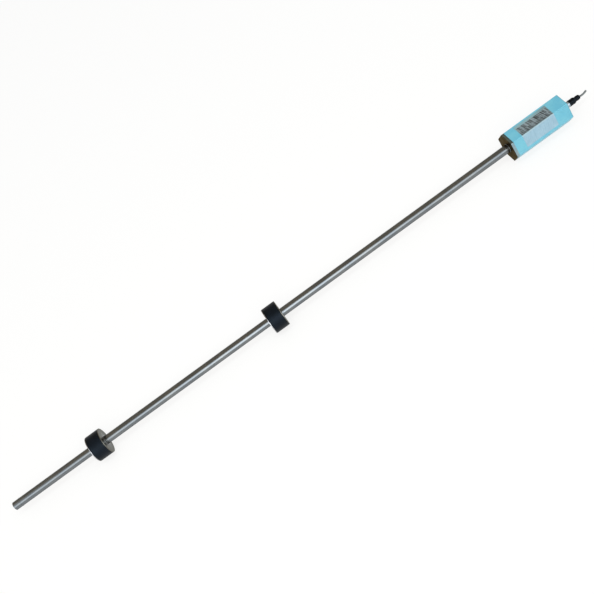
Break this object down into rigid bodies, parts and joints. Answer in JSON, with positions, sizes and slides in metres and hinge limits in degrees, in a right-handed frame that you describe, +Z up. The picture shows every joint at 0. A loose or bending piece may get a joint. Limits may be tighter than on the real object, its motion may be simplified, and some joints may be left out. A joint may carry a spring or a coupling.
{
  "type": "magnetostrictive position sensor",
  "caption": "Rod-style magnetostrictive position sensor: hexagonal electronics head, long straight steel probe, two magnet floats that slide on it, and a cable gland.",
  "frame": {"origin": "on the probe's axis, at the mounting face of the head's plate", "axes": "+X along the probe's axis from the tip towards the cable end, +Z up as the sensor lies on a bench, with a flat of the hexagonal head facing up"},
  "size_m": [1.2772, 0.0572, 0.051],
  "materials": {
    "polished_steel": "polished",
    "blue_paint": "satin",
    "label_foil": "satin",
    "gasket_rubber": "matte",
    "float_foam": "satin",
    "float_metal": "satin",
    "ferrite": "matte",
    "gland_black": "satin",
    "nickel_plate": "polished",
    "cable_jacket": "matte",
    "soft_seal": "matte",
    "carrier_plastic": "matte",
    "board_laminate": "satin",
    "chip_plastic": "matte",
    "terminal_plastic": "satin",
    "copper": "satin",
    "zinc_steel": "satin"
  },
  "bodies": {
    "probe": {"probe_tube": "polished_steel", "tip_plug": "polished_steel", "mounting_plate": "polished_steel", "tie_screws": "polished_steel", "head_housing": "blue_paint", "rear_cap": "blue_paint", "name_label": "label_foil", "front_gasket": "gasket_rubber", "rear_gasket": "gasket_rubber", "bias_magnet": "ferrite", "gland_cap_nut": "gland_black", "cable_boot": "gland_black", "gland_body": "nickel_plate", "cable_pigtail": "cable_jacket", "cable_inside": "cable_jacket", "gland_seal": "soft_seal", "gland_washer": "soft_seal", "tube_seal": "soft_seal", "tip_damper": "soft_seal", "head_damper": "soft_seal", "centring_spacers": "soft_seal", "carrier": "carrier_plastic", "pickup_bobbin": "carrier_plastic", "board_pillars": "carrier_plastic", "board_header": "carrier_plastic", "main_board": "board_laminate", "interface_board": "board_laminate", "circuit_parts": "chip_plastic", "terminal_block": "terminal_plastic", "pickup_coil": "copper", "return_wire": "copper", "lead_wires": "copper", "waveguide_end_link": "copper", "waveguide_wire": "zinc_steel", "waveguide_sleeve": "zinc_steel", "damper_clip": "zinc_steel", "shield_can": "zinc_steel", "gland_locknut": "zinc_steel"},
    "upper_float": {"upper_float_body": "float_foam", "upper_float_flanged_sleeve": "float_metal", "upper_float_end_disc": "float_metal", "upper_float_magnet": "ferrite"},
    "lower_float": {"lower_float_body": "float_foam", "lower_float_flanged_sleeve": "float_metal", "lower_float_end_disc": "float_metal", "lower_float_magnet": "ferrite"}
  },
  "joints": [
    {"name": "upper_float_slide", "type": "slide", "parent": "probe", "child": "upper_float", "axis": [1, 0, 0], "range_m": [-0.1812, 0.5042]},
    {"name": "lower_float_slide", "type": "slide", "parent": "probe", "child": "lower_float", "axis": [1, 0, 0], "range_m": [-0.1746, 0.1812]}
  ]
}
